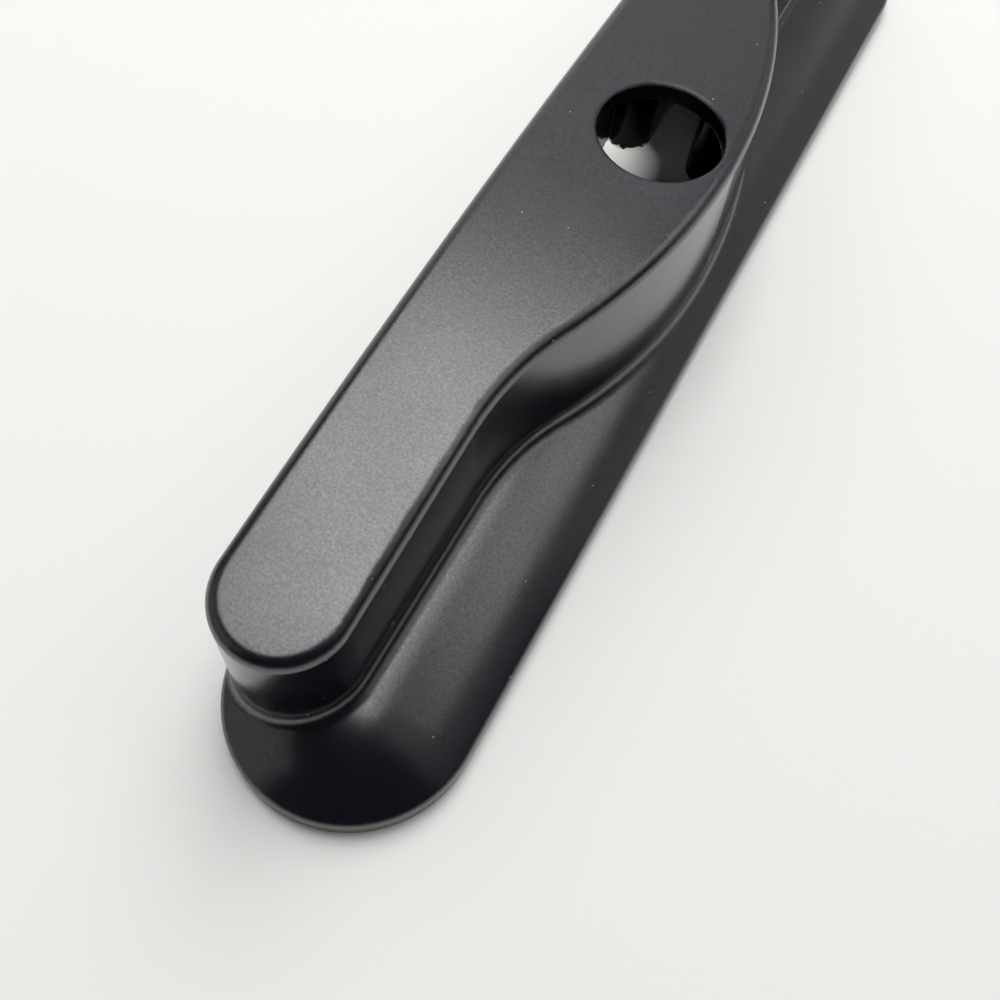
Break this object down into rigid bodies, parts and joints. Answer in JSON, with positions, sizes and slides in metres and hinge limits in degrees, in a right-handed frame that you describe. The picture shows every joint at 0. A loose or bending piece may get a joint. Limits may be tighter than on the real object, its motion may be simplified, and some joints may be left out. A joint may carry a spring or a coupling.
{
  "type": "patio door handle",
  "caption": "Black satin-coated die-cast pull handle for a sliding patio door: domed oblong plate, raised arched grip with a wavy finger edge, round lock-cylinder hole and hollow back.",
  "frame": {"origin": "on the cylinder hole's axis, in the plane of the back rim", "axes": "+X across the plate towards the wave edge, +Y along the plate (up the door), +Z out of the door"},
  "size_m": [0.0406, 0.24, 0.0367],
  "materials": {
    "black_coat": "fine-textured satin black powder coat"
  },
  "bodies": {
    "root": {"handle_casting": "black_coat"}
  },
  "joints": []
}
